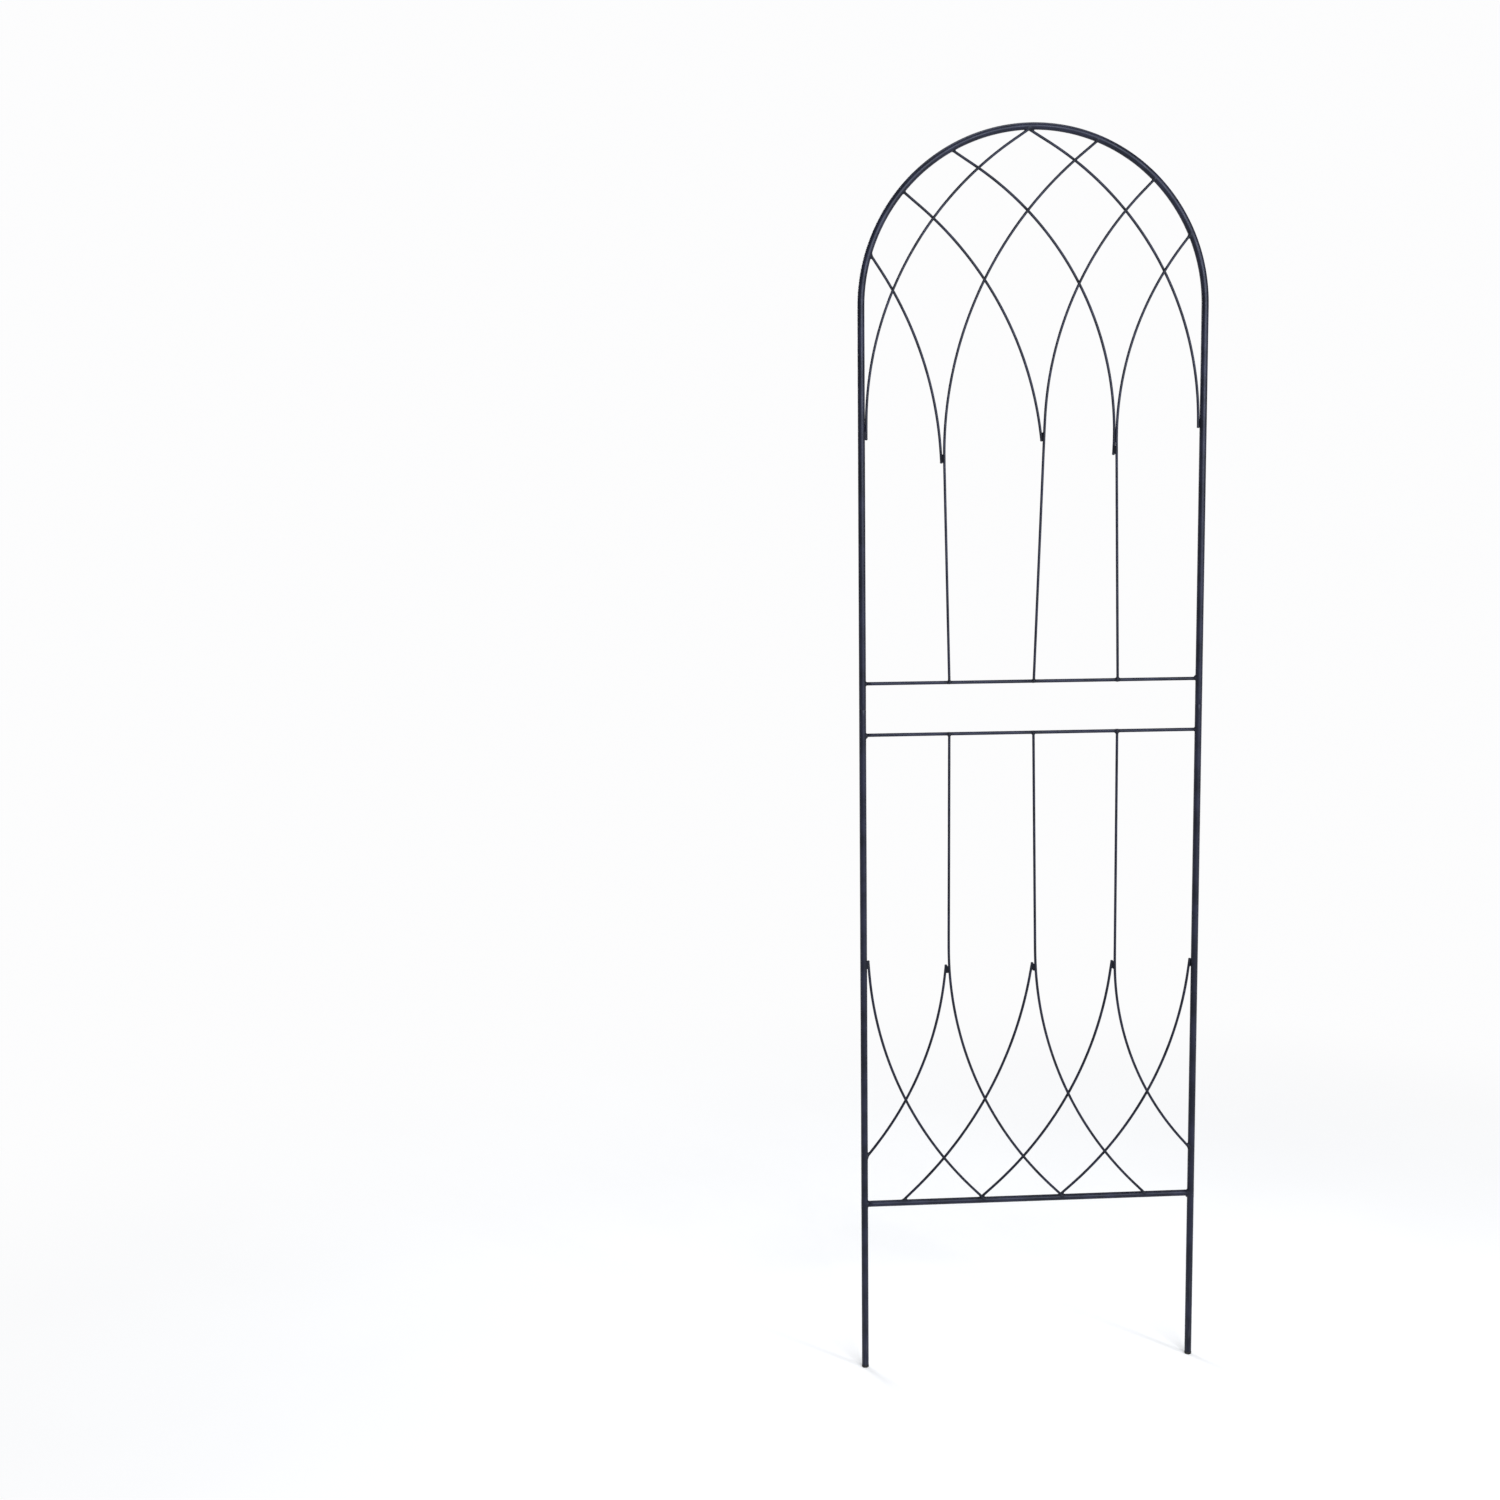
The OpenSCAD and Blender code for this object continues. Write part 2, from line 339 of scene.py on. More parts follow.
class Weld:
    """A lump that melts two solids together. base and added are distance functions."""

    def __init__(self, centre, reach, blend, base, added):
        self.centre, self.reach, self.blend = np.array(centre, float), reach, blend
        self.base, self.added = base, added

    def field(self, p):
        """Below zero in the lump, which stays within its reach and in the CAD part's box."""
        base, added = self.base(p), self.added(p)
        f, mix = melt(base, added, self.blend)
        f = f + SINK * (1 - mix) - ROUGHNESS * mix * waves(p, ROUGH_SIZE, ROUGH_SEED)
        near_both = np.maximum(base, added) - SPREAD * self.blend
        in_wall = -SHELL - np.minimum(tube_distance(p), bar_distance(p, FOOT_BAR_Z, FOOT_BAR_R))
        in_reach = np.linalg.norm(p - self.centre, axis=1) - self.reach
        in_box = np.maximum(np.abs(p[:, 0]) - HALF_W - RING_R, np.abs(p[:, 1]) - PLUG_R) + SINK
        return np.maximum.reduce([f, near_both, in_wall, in_reach, in_box])

    def skin(self):
        return skin_of(self.field, self.centre, self.reach, WELD_CELL)


def near_part(path, centre, reach):
    """The stretch of a path that a weld can touch."""
    close = np.nonzero(np.linalg.norm(path - centre, axis=1) < reach + 2 * RING_STEP)[0]
    return path[max(close[0] - 1, 0):close[-1] + 2]


def wire_solid(paths, centre, reach):
    near = [near_part(path, centre, reach) for path in paths]

    def distance(p):
        best = path_distance(p, near[0], WIRE_R)
        for path in near[1:]:
            best = melt(best, path_distance(p, path, WIRE_R), WIRE_R)[0]
        return best
    return distance


def end_welds(section):
    """Where wires end on a member. Two that end side by side share a weld, and the weld is
    heavier at the fourth wires, which meet the side tubes at a slant."""
    reach, blend, heavy_blend, share = 9 * MM, 2.4 * MM, 3.6 * MM, 8 * MM
    ends = []
    for node, path in WIRES[section].items():
        tips = [(path, path[-1], path[-2])]
        if not starts_loose(node):
            tips.append((path, path[0], path[1]))
        for path, tip, inner in tips:
            back = (inner - tip) / np.linalg.norm(inner - tip)
            ends.append((tip + 2 * MM * back, path, node.endswith("4")))
    welds = []
    while ends:
        first = ends.pop(0)
        group = [first] + [e for e in ends if np.linalg.norm(e[0] - first[0]) < share]
        ends = [e for e in ends if np.linalg.norm(e[0] - first[0]) >= share]
        middle_of = np.mean([e[0] for e in group], axis=0)
        spread = max(np.linalg.norm(e[0] - middle_of) for e in group)
        size = reach + spread
        wires = wire_solid([e[1] for e in group], middle_of, size)
        melted = heavy_blend if first[2] else blend
        welds.append(Weld(middle_of, size, melted, member_distance, wires))
    return welds


def crossing_welds(section):
    """Where a right-going wire passes in front of a left-going one."""
    reach, blend, clear = 6 * MM, 1.5 * MM, 5 * MM
    wires = WIRES[section]
    welds = []
    for right in [w for w in wires if "_right_" in w]:
        for left in [w for w in wires if "_left_" in w]:
            a, b = (w[np.argsort(w[:, 2])] for w in (wires[right], wires[left]))
            z = np.arange(max(a[0, 2], b[0, 2]), min(a[-1, 2], b[-1, 2]), 1 * MM)
            if len(z) < 2:
                continue
            x = np.interp(z, a[:, 2], a[:, 0])
            gap = x - np.interp(z, b[:, 2], b[:, 0])
            for i in np.nonzero(gap[:-1] * gap[1:] < 0)[0]:
                centre = np.array([x[i], 0, z[i]])
                if member_distance(centre[None])[0] > clear:
                    front, rear = (wire_solid([wires[w]], centre, reach) for w in (right, left))
                    welds.append(Weld(centre, reach, blend, front, rear))
    return welds


def ball(centre, radius):
    return lambda p: np.linalg.norm(p - centre, axis=1) - radius


def bar_welds(z, radius, blend, heaps):
    """Both ends of a bar. A heap is where a weld is piled higher: its side, and up or down."""
    heap_r, heap_out, heap_up = min(0.9 * radius, 0.8 * blend), 0.4 * MM, radius + 0.2 * MM
    welds = []
    for side in (-1, 1):
        centre = np.array([side * (HALF_W - TUBE_R), 0, z])
        spots = [up for heap_side, up in heaps if heap_side == side]
        balls = [ball(centre + [-side * heap_out, 0, up * heap_up], heap_r) for up in spots]

        def added(p, balls=balls):
            best = bar_distance(p, z, radius)
            for solid in balls:
                best = melt(best, solid(p), radius)[0]
            return best
        welds.append(Weld(centre, radius + 3 * blend, blend, tube_distance, added))
    return welds


def bead_solid(centre, half_length, radius, seed):
    """Upright run of weld, laid in overlapping puddles."""
    rng = np.random.default_rng(seed)
    lean = rng.uniform(-0.06, 0.06)
    puddle = rng.uniform(1.7, 2.1) * MM
    ripple, sag = 0.16 * MM, 2

    def distance(p):
        q = p - centre
        q[:, 0] -= lean * q[:, 2]
        share = np.clip(q[:, 2], -half_length, half_length)
        phase = (q[:, 2] - sag * np.hypot(q[:, 0], q[:, 1])) / puddle
        scallop = ripple * np.cos(2 * math.pi * phase)
        return np.sqrt(q[:, 0] ** 2 + q[:, 1] ** 2 + (q[:, 2] - share) ** 2) - radius - scallop
    return distance


def lap_welds(section):
    """The beads beside lapped wires, one for each bead of the CAD node."""
    co = corners(f"{section}_lap_welds")
    co = co[np.argsort(co[:, 0])]
    apart = np.nonzero(np.diff(co[:, 0]) > 20 * MM)[0] + 1
    welds = []
    for seed, bead in enumerate(np.split(co, apart)):
        lo, hi = bead.min(0), bead.max(0)
        centre, radius = (lo + hi) / 2, (hi[1] - lo[1]) / 2
        half_length = (hi[2] - lo[2]) / 2 - radius
        reach = half_length + 3 * radius
        near = [w for w in WIRES[section].values() if passes(w, centre, reach)]
        solid = wire_solid(near, centre, reach)

        def base(p, solid=solid):
            return np.minimum(solid(p), tube_distance(p))
        added = bead_solid(centre, half_length, 0.93 * radius, seed)
        welds.append(Weld(centre, reach, 1.3 * MM, base, added))
    return welds


def passes(path, centre, reach):
    return np.linalg.norm(path - centre, axis=1).min() < reach


WELDS = {
    "lower": {
        "end": end_welds("lower"),
        "crossing": crossing_welds("lower"),
        "lap": lap_welds("lower"),
        "bar": bar_welds(LOWER_CROSSBAR_Z, CROSSBAR_R, 2.2 * MM, [(-1, -1)])
        + bar_welds(FOOT_BAR_Z, FOOT_BAR_R, 2 * MM, [(1, -1)]),
    },
    "upper": {
        "end": end_welds("upper"),
        "crossing": crossing_welds("upper"),
        "lap": lap_welds("upper"),
        "bar": bar_welds(UPPER_CROSSBAR_Z, CROSSBAR_R, 2.2 * MM, [(1, 1)]),
    },
}


# ---- Surfaces

def add(tree, kind, inputs=(), **settings):
    """A new node. inputs maps a socket's name or number to a value or to another node's output."""
    made = tree.nodes.new(kind)
    for key, value in settings.items():
        setattr(made, key, value)
    for key, value in dict(inputs).items():
        if isinstance(value, bpy.types.NodeSocket):
            tree.links.new(value, made.inputs[key])
        else:
            made.inputs[key].default_value = value
    return made


def new_material(name):
    material = bpy.data.materials.new(name)
    material.use_nodes = True
    shader = material.node_tree.nodes["Principled BSDF"]
    return material, material.node_tree, shader


def noise(tree, place, scale, detail=3.0, stretch=(1, 1, 1)):
    """Fractal noise in the piece's own space. Scale is in features per metre."""
    fitted = add(tree, "ShaderNodeMapping", {"Vector": place, "Scale": stretch})
    settings = {"Vector": fitted.outputs[0], "Scale": scale, "Detail": detail}
    made = add(tree, "ShaderNodeTexNoise", settings)
    return made.outputs["Fac"]


def between(tree, value, low, high, out_low=0.0, out_high=1.0):
    """Value's stretch from low to high, spread smoothly over the outputs."""
    made = add(
        tree, "ShaderNodeMapRange",
        {"Value": value, "From Min": low, "From Max": high, "To Min": out_low, "To Max": out_high},
        interpolation_type="SMOOTHSTEP",
    )
    return made.outputs["Result"]


def arithmetic(tree, operation, a, b):
    made = add(tree, "ShaderNodeMath", {0: a, 1: b}, operation=operation)
    return made.outputs[0]


def blend_colour(tree, share, a, b):
    made = add(tree, "ShaderNodeMix", data_type="RGBA")
    for key, value in (("Factor_Float", share), ("A_Color", a), ("B_Color", b)):
        socket = next(i for i in made.inputs if i.identifier == key)
        if isinstance(value, bpy.types.NodeSocket):
            tree.links.new(value, socket)
        else:
            socket.default_value = value
    return next(o for o in made.outputs if o.identifier == "Result_Color")


def painted(tree, name):
    """The share of a surface effect, painted on the mesh's points."""
    made = add(tree, "ShaderNodeAttribute", attribute_name=name, attribute_type="GEOMETRY")
    return made.outputs["Fac"]


def bump(tree, height, distance, strength, under=None):
    inputs = {"Height": height, "Distance": distance, "Strength": strength}
    if under is not None:
        inputs["Normal"] = under
    return add(tree, "ShaderNodeBump", inputs).outputs["Normal"]


COAT_DEEP = (0.0034, 0.0038, 0.0078, 1)
COAT_PALE = (0.0120, 0.0130, 0.0270, 1)
COAT_AT_WELDS = (0.0042, 0.0046, 0.0068, 1)
COAT_GLOSS_TINT = (0.72, 0.79, 1.0, 1)
COAT_ROUGHNESS = (0.38, 0.46)
CHALK = (0.085, 0.088, 0.095, 1)
BARE_STEEL = (0.32, 0.31, 0.30, 1)
DUST = (0.11, 0.105, 0.095, 1)
PLUG_BLACK = (0.006, 0.006, 0.007, 1)
PLUG_GREY = (0.014, 0.014, 0.015, 1)
PLUG_GRAZED = (0.07, 0.068, 0.064, 1)


def powder_coat(name, peel, cloud_scale=30.0):
    """Blue-black satin powder coat with orange peel, nibs, scuffs and a little dust.
    It is deeper and duller at welds, and rubbed where the mesh's wear paint says."""
    material, tree, shader = new_material(name)
    place = add(tree, "ShaderNodeTexCoord").outputs["Object"]
    cloud = noise(tree, place, cloud_scale, 5)
    colour = blend_colour(tree, between(tree, cloud, 0.3, 0.7), COAT_DEEP, COAT_PALE)
    weld = painted(tree, "weld")
    colour = blend_colour(tree, between(tree, weld, 0.0, 1.0, 0.0, 0.85), colour, COAT_AT_WELDS)

    geometry = add(tree, "ShaderNodeNewGeometry")
    facing = add(tree, "ShaderNodeSeparateXYZ", {0: geometry.outputs["Normal"]})
    upward = between(tree, facing.outputs["Z"], 0.35, 1.0)
    specks = between(tree, noise(tree, place, 260, 6), 0.45, 0.75, 0, 0.22)
    dusty = arithmetic(tree, "MULTIPLY", upward, specks)
    colour = blend_colour(tree, dusty, colour, DUST)

    wear = painted(tree, "wear")
    streaks = noise(tree, place, 900, 4, stretch=(1, 1, 0.05))
    blotches = noise(tree, place, 240, 5)
    rubbed = arithmetic(tree, "MULTIPLY", wear, between(tree, streaks, 0.50, 0.62))
    colour = blend_colour(tree, arithmetic(tree, "MULTIPLY", rubbed, 0.55), colour, CHALK)
    chipped = arithmetic(tree, "ADD", arithmetic(tree, "MULTIPLY", wear, 0.33), blotches)
    chipped = between(tree, chipped, 0.86, 0.90)
    colour = blend_colour(tree, chipped, colour, BARE_STEEL)
    tree.links.new(colour, shader.inputs["Base Color"])
    tree.links.new(chipped, shader.inputs["Metallic"])

    dull = between(tree, noise(tree, place, 70, 4), 0.3, 0.7, *COAT_ROUGHNESS)
    dull = arithmetic(tree, "ADD", dull, arithmetic(tree, "MULTIPLY", weld, 0.12))
    dull = arithmetic(tree, "ADD", dull, arithmetic(tree, "MULTIPLY", rubbed, 0.18))
    dull = arithmetic(tree, "ADD", dull, dusty)
    tree.links.new(dull, shader.inputs["Roughness"])

    nibs = add(tree, "ShaderNodeTexVoronoi", {"Vector": place, "Scale": 420.0, "Randomness": 1.0})
    nib = between(tree, nibs.outputs["Distance"], 0.0, 0.16, 1.0, 0.0)
    normal = bump(tree, noise(tree, place, 950, 2), 0.11 * MM, peel)
    normal = bump(tree, noise(tree, place, 4200, 2), 0.015 * MM, peel, normal)
    normal = bump(tree, nib, 0.03 * MM, 0.35, normal)
    normal = bump(tree, chipped, -0.06 * MM, 0.8, normal)
    tree.links.new(normal, shader.inputs["Normal"])
    shader.inputs["Specular IOR Level"].default_value = 0.27
    shader.inputs["Specular Tint"].default_value = COAT_GLOSS_TINT
    return material


def plug_plastic():
    """Matt black moulded plastic, finely spark-eroded, with soil-dulled patches."""
    material, tree, shader = new_material("leg_plug_plastic")
    place = add(tree, "ShaderNodeTexCoord").outputs["Object"]
    cloud = noise(tree, place, 150, 5)
    colour = blend_colour(tree, between(tree, cloud, 0.35, 0.7), PLUG_BLACK, PLUG_GREY)
    wear = painted(tree, "wear")
    grazed = arithmetic(tree, "MULTIPLY", wear, between(tree, noise(tree, place, 700, 5), 0.52, 0.66))
    colour = blend_colour(tree, arithmetic(tree, "MULTIPLY", grazed, 0.5), colour, PLUG_GRAZED)
    tree.links.new(colour, shader.inputs["Base Color"])
    dull = between(tree, noise(tree, place, 300, 3), 0.3, 0.7, 0.55, 0.72)
    tree.links.new(dull, shader.inputs["Roughness"])
    normal = bump(tree, noise(tree, place, 2600, 3), 0.03 * MM, 0.5)
    normal = bump(tree, grazed, -0.03 * MM, 0.6, normal)
    tree.links.new(normal, shader.inputs["Normal"])
    shader.inputs["Specular IOR Level"].default_value = 0.35
    return material


COATS = {
    "tube": powder_coat("tube_powder_coat", peel=0.50),
    "crossbar": powder_coat("crossbar_powder_coat", peel=0.45),
    "wire": powder_coat("wire_powder_coat", peel=0.40, cloud_scale=45.0),
    "weld": powder_coat("weld_powder_coat", peel=0.55),
    "leg_plug": plug_plastic(),
}


# ---- Pieces

WELD_SPOTS = np.array([w.centre for s in WELDS.values() for ws in s.values() for w in ws])
WELD_MARK = 7 * MM


def nearness(points, spots, size):
    """From 1 at a spot to 0 away from every spot."""
    best = np.full(len(points), np.inf)
    for spot in spots:
        best = np.minimum(best, ((points - spot) ** 2).sum(1))
    return np.exp(-best / size ** 2)


def paint(piece, name, values):
    layer = piece.data.attributes.new(name, "FLOAT", "POINT")
    layer.data.foreach_set("value", np.asarray(values, np.float32))


def make_piece(name, skin, section, slot, nodes=(), wear=None, bare_of_weld=False):
    """A smooth mesh that rides on its section, stands for CAD nodes and has its slot's finish."""
    points, faces = skin
    mesh = bpy.data.meshes.new(name)
    mesh.from_pydata(points.tolist(), [], [tuple(map(int, f)) for f in faces])
    mesh.shade_smooth()
    mesh.materials.append(COATS[slot])
    piece = bpy.data.objects.new(name, mesh)
    bpy.context.scene.collection.objects.link(piece)
    none = np.zeros(len(points))
    paint(piece, "weld", none if bare_of_weld else nearness(points, WELD_SPOTS, WELD_MARK))
    paint(piece, "wear", none if wear is None else wear)
    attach(piece, section + "_section")
    if nodes:
        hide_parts(*nodes)
    return piece


def upright_rings(x, profile):
    """Rings about an upright axis, from pairs of radius and height."""
    profile = np.array(profile)
    centres = np.stack([np.full(len(profile), x), np.zeros(len(profile)), profile[:, 1]], -1)
    return centres, np.tile([1.0, 0.0, 0.0], (len(profile), 1)), profile[:, 0]


def filled_in(profile, step):
    """The same profile with no stretch longer than step."""
    made = [profile[0]]
    for (r0, z0), (r1, z1) in zip(profile[:-1], profile[1:]):
        parts = max(1, int(math.ceil(abs(z1 - z0) / step)))
        steps = [i / parts for i in range(1, parts + 1)]
        made += [(r0 + (r1 - r0) * t, z0 + (z1 - z0) * t) for t in steps]
    return made


LIP = 0.3 * MM
TUBE_SIDES, FOOT_BAR_SIDES, CROSSBAR_SIDES, WIRE_SIDES, PLUG_SIDES = 40, 36, 28, 20, 64


def leg(side):
    """Tube with a swollen band at the bottom bar's weld, a shoulder and a swaged neck."""
    swage_z = SEAM_Z - 12 * MM
    band_r = RING_R - 2 * SINK
    band = FOOT_BAR_R + 2 * MM
    outer = [
        (TUBE_R - LIP, LEG_FOOT_Z), (TUBE_R - 0.3 * LIP, LEG_FOOT_Z + 0.3 * LIP),
        (TUBE_R, LEG_FOOT_Z + LIP),
        (TUBE_R, FOOT_BAR_Z - band - 2 * MM), (band_r, FOOT_BAR_Z - band + 1 * MM),
        (band_r, FOOT_BAR_Z + band - 1 * MM), (TUBE_R, FOOT_BAR_Z + band + 2 * MM),
        (TUBE_R, SEAM_Z - LIP), (TUBE_R - 0.3 * LIP, SEAM_Z - 0.3 * LIP), (TUBE_R - LIP, SEAM_Z),
        (NECK_R + LIP, SEAM_Z), (NECK_R, SEAM_Z + LIP),
        (NECK_R, NECK_TOP_Z - 3 * LIP), (NECK_R - LIP, NECK_TOP_Z - LIP),
        (NECK_R - 1.6 * LIP, NECK_TOP_Z),
    ]
    inner = [
        (NECK_BORE_R + 0.4 * LIP, NECK_TOP_Z), (NECK_BORE_R, NECK_TOP_Z - LIP),
        (NECK_BORE_R, swage_z), (BORE_R, swage_z - 3 * MM),
        (BORE_R, LEG_FOOT_Z + LIP), (BORE_R + 0.3 * LIP, LEG_FOOT_Z),
    ]
    profile = filled_in(outer, 9 * MM) + filled_in(inner, 60 * MM)
    skin = sweep(*upright_rings(side * HALF_W, profile), TUBE_SIDES, hollow=True)
    name = "left_leg" if side < 0 else "right_leg"
    z = skin[0][:, 2]
    buried = 0.4 * smooth_step(FOOT_BAR_Z - 20 * MM, 20 * MM, z)
    plugged = smooth_step(SEAM_Z - 3 * MM, SEAM_Z + 2 * MM, z)
    make_piece(name + "_coated", skin, "lower", "tube", [name], wear=np.maximum(buried, plugged))


def leg_plug(side):
    """Pushed-in plug: a domed head with a gate mark under it, and a plain shank."""
    dome, head_top = 1.5 * MM, LEG_FOOT_Z
    arc = [
        (PLUG_R - dome + dome * math.sin(a), dome - dome * math.cos(a))
        for a in np.linspace(0, math.pi / 2, 9)
    ]
    shank_r = BORE_R - 0.02 * MM
    profile = [
        (0.25 * MM, 0.35 * MM), (0.8 * MM, 0.35 * MM), (0.95 * MM, 0.10 * MM), (1.2 * MM, 0.0),
        (2.4 * MM, 0.0), *arc, (PLUG_R, head_top - 0.5 * MM), (PLUG_R - 0.15 * MM, head_top - 0.15 * MM),
        (PLUG_R - 0.5 * MM, head_top), (shank_r, head_top), (shank_r, PLUG_TOP_Z - 1.5 * MM),
        (shank_r - 0.6 * MM, PLUG_TOP_Z), (0.5 * MM, PLUG_TOP_Z),
    ]
    rings = upright_rings(side * HALF_W, filled_in(profile, 2 * MM))
    points, faces = sweep(*rings, PLUG_SIDES, uneven=0)
    name = "left_leg_plug" if side < 0 else "right_leg_plug"
    wear = 0.9 * smooth_step(3 * MM, 0, points[:, 2])
    make_piece(
        name + "_moulded", (points, faces), "lower", "leg_plug", [name],
        wear=wear, bare_of_weld=True,
    )


def arch_tube():
    """Bent hollow tube, from one open end round the arch to the other."""
    side_rings, arch_rings = 64, 122
    rise = np.linspace(9 * MM, SPRING_Z - ARCH_END_Z, side_rings)
    rise = np.array([0, 0.3 * LIP, LIP, *rise])
    turn = np.linspace(math.pi, 0, arch_rings)[1:-1]
    left = [((-HALF_W, 0, ARCH_END_Z + s), (1, 0, 0)) for s in rise]
    arc = [
        ((HALF_W * math.cos(a), 0, SPRING_Z + HALF_W * math.sin(a)), (-math.cos(a), 0, -math.sin(a)))
        for a in turn
    ]
    right = [((HALF_W, 0, ARCH_END_Z + s), (-1, 0, 0)) for s in rise[::-1]]
    path = left + arc + right
    centres = np.array([c for c, _ in path], float)
    across = np.array([a for _, a in path], float)
    outer = np.full(len(path), TUBE_R)
    outer[[0, -1]] -= LIP
    outer[[1, -2]] -= 0.3 * LIP
    inner = np.full(len(path), BORE_R)
    inner[[0, -1]] += 0.5 * LIP
    skin = sweep(
        np.vstack([centres, centres[::-1]]), np.vstack([across, across[::-1]]),
        np.concatenate([outer, inner[::-1]]), TUBE_SIDES, hollow=True,
    )
    rubbed = 0.5 * smooth_step(ARCH_END_Z + 5 * MM, ARCH_END_Z, skin[0][:, 2])
    make_piece("arch_tube_coated", skin, "upper", "tube", ["arch_tube"], wear=rubbed)


def bar(node, section, slot, radius, sides):
    """Round bar with its ends coped into the walls of the frame tube."""
    z = middle(node).z
    reach = HALF_W - TUBE_R
    x = np.linspace(-reach, reach, 62)
    centres = np.stack([x, np.zeros(len(x)), np.full(len(x), z)], -1)
    across = np.tile([0.0, 0.0, -1.0], (len(x), 1))
    points, faces = sweep(centres, across, np.full(len(x), radius), sides)
    bed = TUBE_R - 0.5 * MM
    for side, ring in ((-1, slice(0, sides)), (1, slice(len(points) - sides, len(points)))):
        points[ring, 0] = side * (HALF_W - np.sqrt(np.maximum(bed ** 2 - points[ring, 1] ** 2, 0)))
    make_piece(node + "_coated", (points, faces), section, slot, [node])


def wire(node, section):
    """Round wire. A loose start is rounded over and swollen by the coat that gathers there."""
    path = WIRES[section][node]
    length = path_length(path)
    stations = np.linspace(0, length, int(round(length / (4 * MM))) + 1)
    radius = np.full(len(stations), WIRE_R)
    if starts_loose(node):
        tip = np.array([0, 0.15, 0.4, 0.8, 1.3, 1.9, 2.6, 3.3]) * MM
        rounded, blunt = 0.85 * MM, 0.12
        swollen, swell_at, swell_l = 0.2 * MM, 1.5 * MM, 1 * MM
        stations = np.concatenate([tip, stations[1:]])
        round_over = np.sqrt(1 - (1 - np.clip(tip / rounded, blunt, 1)) ** 2)
        swell = swollen * np.exp(-((tip - swell_at) / swell_l) ** 2)
        radius = np.concatenate([WIRE_R * round_over + swell, radius[1:]])
    centres, ways = along(path, stations)
    across = np.stack([ways[:, 2], np.zeros(len(ways)), -ways[:, 0]], -1)
    skin = sweep(centres, across, radius, WIRE_SIDES, uneven=0.025 * MM)
    wear = 0.35 * nearness(skin[0], [path[0]], 4 * MM) if starts_loose(node) else None
    make_piece(node + "_coated", skin, section, "wire", [node], wear=wear)


def weld_piece(section, kind, nodes=()):
    """All of one kind of weld in a section, as one piece."""
    points, faces, count = [], [], 0
    for weld in WELDS[section][kind]:
        skin, quads = weld.skin()
        points.append(skin)
        faces.append(quads + count)
        count += len(skin)
    points, faces = np.vstack(points), np.vstack(faces)
    make_piece(f"{section}_{kind}_weld_lumps", (points, faces), section, "weld", nodes)


for side in (-1, 1):
    leg(side)
    leg_plug(side)
arch_tube()
bar("bottom_bar", "lower", "tube", FOOT_BAR_R, FOOT_BAR_SIDES)
bar("lower_crossbar", "lower", "crossbar", CROSSBAR_R, CROSSBAR_SIDES)
bar("upper_crossbar", "upper", "crossbar", CROSSBAR_R, CROSSBAR_SIDES)
for section in WIRES:
    for node in WIRES[section]:
        wire(node, section)
    for kind in WELDS[section]:
        weld_piece(section, kind, [section + "_lap_welds"] if kind == "lap" else [])


# ---- Floor, light and camera

def floor():
    """Pale studio floor that fades into the backdrop's white a step away from the object."""
    radius, rings, sides = 60.0, 48, 96
    points, faces = [(0, 0, 0)], []
    for i in range(1, rings + 1):
        r = radius * (i / rings) ** 3
        points += [(r * math.cos(a), r * math.sin(a), 0) for a in 2 * math.pi * np.arange(sides) / sides]
    for j in range(sides):
        faces.append((0, 1 + j, 1 + (j + 1) % sides))
    for i in range(rings - 1):
        a, b = 1 + i * sides, 1 + (i + 1) * sides
        faces += [(a + j, b + j, b + (j + 1) % sides, a + (j + 1) % sides) for j in range(sides)]
    mesh = bpy.data.meshes.new("studio_floor")
    mesh.from_pydata(points, [], faces)
    mesh.materials.append(floor_paint())
    made = bpy.data.objects.new("studio_floor", mesh)
    bpy.context.scene.collection.objects.link(made)


BACKDROP = (0.98, 0.98, 0.985, 1)
FLOOR_GLOW, FADE_START, FADE_END = 0.15, 0.3, 2.2
SKY_LIGHT = 0.18


def floor_paint():
    material, tree, shader = new_material("studio_floor_paint")
    place = add(tree, "ShaderNodeTexCoord").outputs["Object"]
    mottle = between(tree, noise(tree, place, 1.7, 5), 0.3, 0.7)
    colour = blend_colour(tree, mottle, (0.86, 0.86, 0.865, 1), (0.89, 0.89, 0.893, 1))
    tree.links.new(colour, shader.inputs["Base Color"])
    tree.links.new(bump(tree, noise(tree, place, 90, 4), 0.4 * MM, 0.15), shader.inputs["Normal"])
    shader.inputs["Roughness"].default_value = 0.9
    shader.inputs["Specular IOR Level"].default_value = 0.1
    shader.inputs["Emission Color"].default_value = (1, 1, 1, 1)
    shader.inputs["Emission Strength"].default_value = FLOOR_GLOW
    away = add(tree, "ShaderNodeVectorMath", {0: place}, operation="LENGTH").outputs["Value"]
    far = between(tree, away, FADE_START, FADE_END)
    glow = add(tree, "ShaderNodeEmission", {"Color": BACKDROP, "Strength": 1.0})
    mixed = add(tree, "ShaderNodeMixShader", {0: far, 1: shader.outputs[0], 2: glow.outputs[0]})
    tree.links.new(mixed.outputs[0], tree.nodes["Material Output"].inputs["Surface"])
    return material


def backdrop():
    """White all round, and dimmer as a light than as a background."""
    world = bpy.data.worlds.new("studio")
    bpy.context.scene.world = world
    world.use_nodes = True
    tree = world.node_tree
    seen = tree.nodes["Background"]
    seen.inputs["Color"].default_value = BACKDROP
    seen.inputs["Strength"].default_value = 1.0
    light = add(tree, "ShaderNodeBackground", {"Color": (0.90, 0.95, 1.0, 1), "Strength": SKY_LIGHT})
    ray = add(tree, "ShaderNodeLightPath").outputs["Is Camera Ray"]
    mixed = add(tree, "ShaderNodeMixShader", {0: ray, 1: light.outputs[0], 2: seen.outputs[0]})
    tree.links.new(mixed.outputs[0], tree.nodes["World Output"].inputs["Surface"])


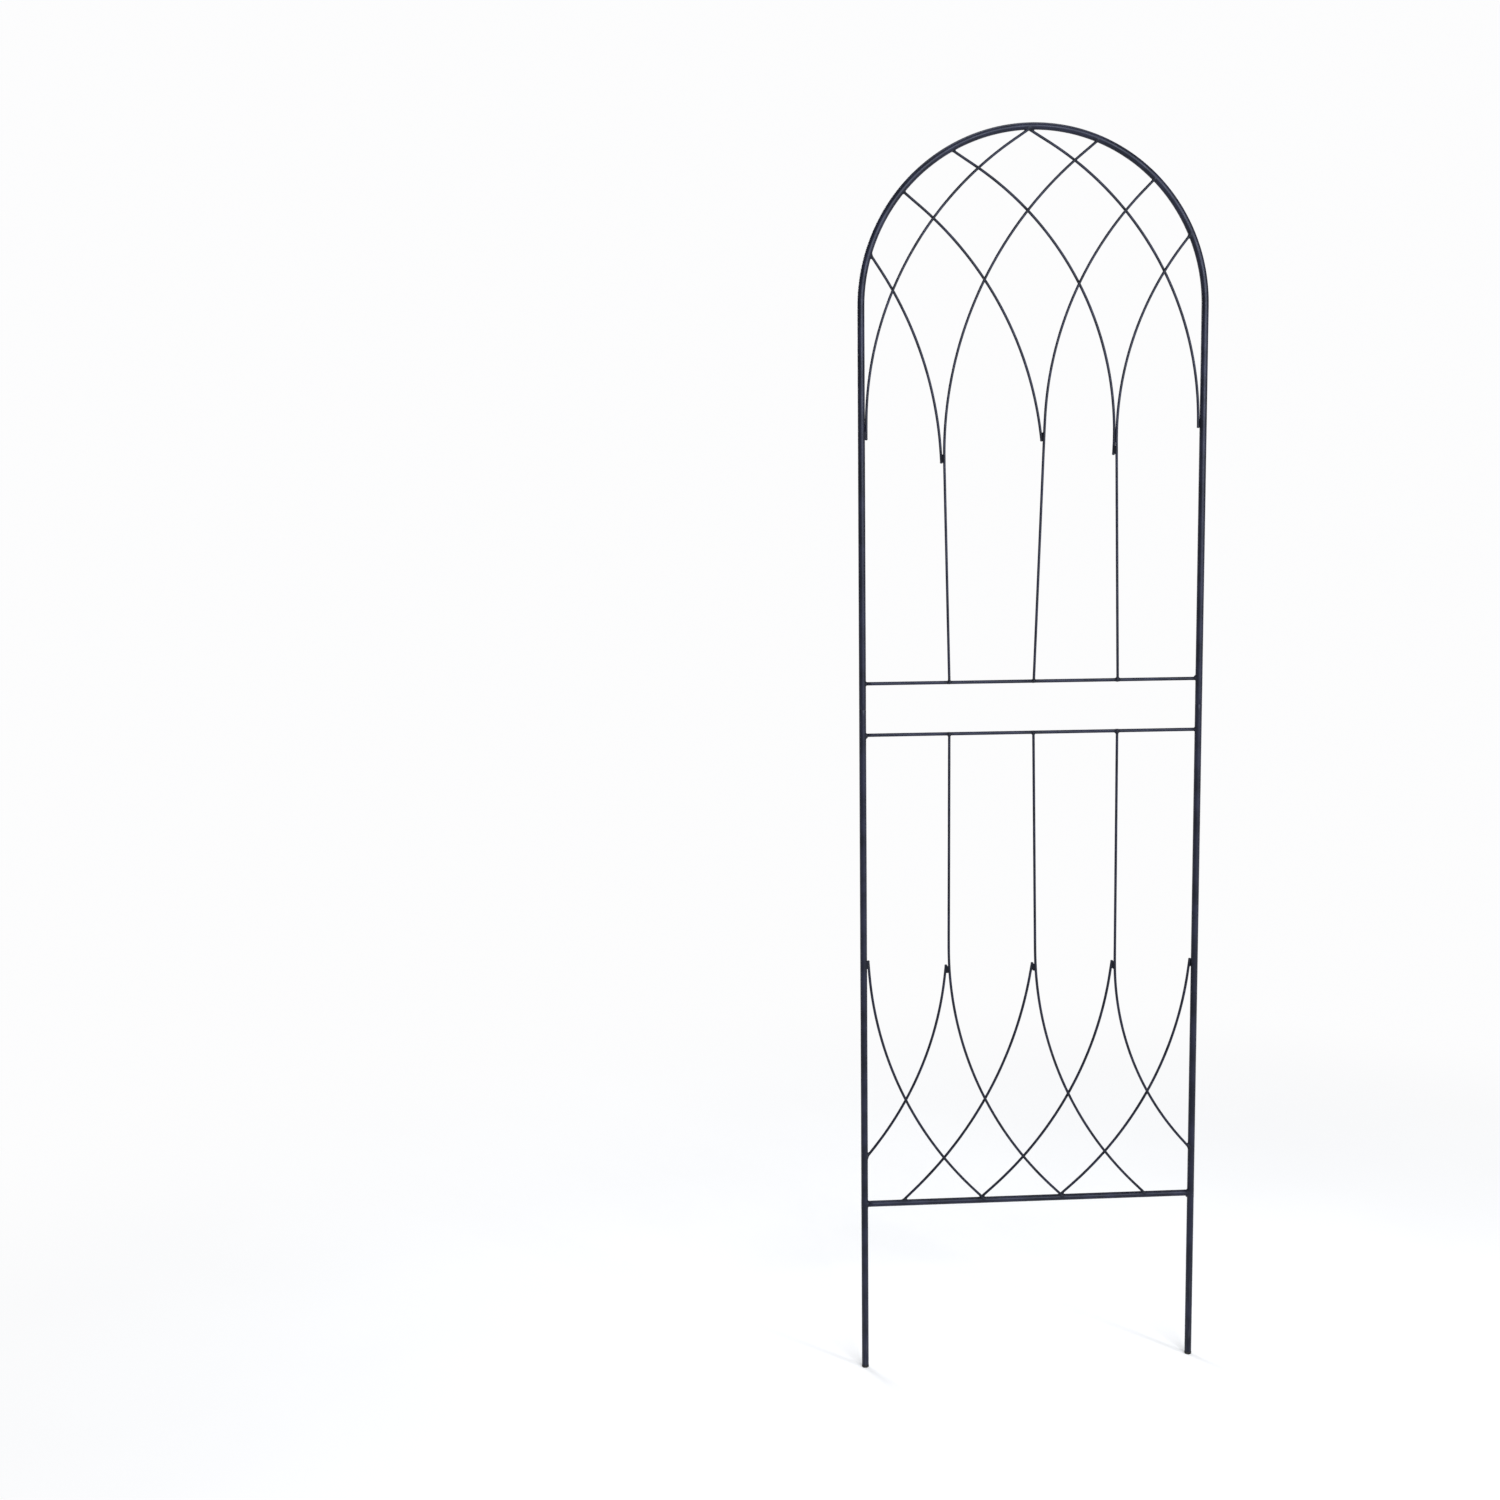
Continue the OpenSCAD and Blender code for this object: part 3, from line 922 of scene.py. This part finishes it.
def softbox(name, place, aim, size, power, colour):
    light = bpy.data.lights.new(name, "AREA")
    light.shape, light.size, light.size_y = "RECTANGLE", size[0], size[1]
    light.energy, light.color = power, colour
    made = bpy.data.objects.new(name, light)
    made.location = place
    made.rotation_euler = (Vector(aim) - Vector(place)).to_track_quat("-Z", "Y").to_euler()
    bpy.context.scene.collection.objects.link(made)


CAMERA_PLACE, CAMERA_LENS = (-0.5795, -2.5885, 1.2259), 43.85
CAMERA_YAW, CAMERA_PITCH, CAMERA_ROLL = 3.809, 6.518, -0.652


def camera():
    """The photograph's viewpoint: left of the panel's middle, at two thirds of its height."""
    yaw, pitch, roll = (math.radians(a) for a in (CAMERA_YAW, CAMERA_PITCH, CAMERA_ROLL))
    flat = Vector((math.sin(yaw), math.cos(yaw), 0))
    ahead = flat * math.cos(pitch) - Vector((0, 0, math.sin(pitch)))
    level = Vector((math.cos(yaw), -math.sin(yaw), 0))
    upward = level.cross(ahead)
    right = level * math.cos(roll) + upward * math.sin(roll)
    upward = right.cross(ahead)
    data = bpy.data.cameras.new("photo_camera")
    data.sensor_width, data.lens = 36.0, CAMERA_LENS
    made = bpy.data.objects.new("photo_camera", data)
    turn = Matrix((right, upward, -ahead)).transposed().to_4x4()
    made.matrix_world = Matrix.Translation(CAMERA_PLACE) @ turn
    bpy.context.scene.collection.objects.link(made)
    bpy.context.scene.camera = made


floor()
backdrop()
softbox(
    "key", place=(2.3, -2.7, 1.9), aim=(0, 0, 1.0),
    size=(0.5, 2.4), power=62.0, colour=(1.0, 1.0, 1.0),
)
softbox(
    "front", place=(0.6, -3.2, 2.0), aim=(0, 0, 1.0),
    size=(1.6, 0.6), power=95.0, colour=(0.97, 0.98, 1.0),
)
softbox(
    "above", place=(0, 0.1, 4.2), aim=(0, 0, 0),
    size=(2.6, 1.6), power=52.0, colour=(0.95, 0.97, 1.0),
)
softbox(
    "rear", place=(-1.6, 2.8, 2.6), aim=(0, 0, 0.9),
    size=(1.0, 1.6), power=50.0, colour=(1.0, 1.0, 1.0),
)
camera()
bpy.context.scene.view_settings.view_transform = "Standard"
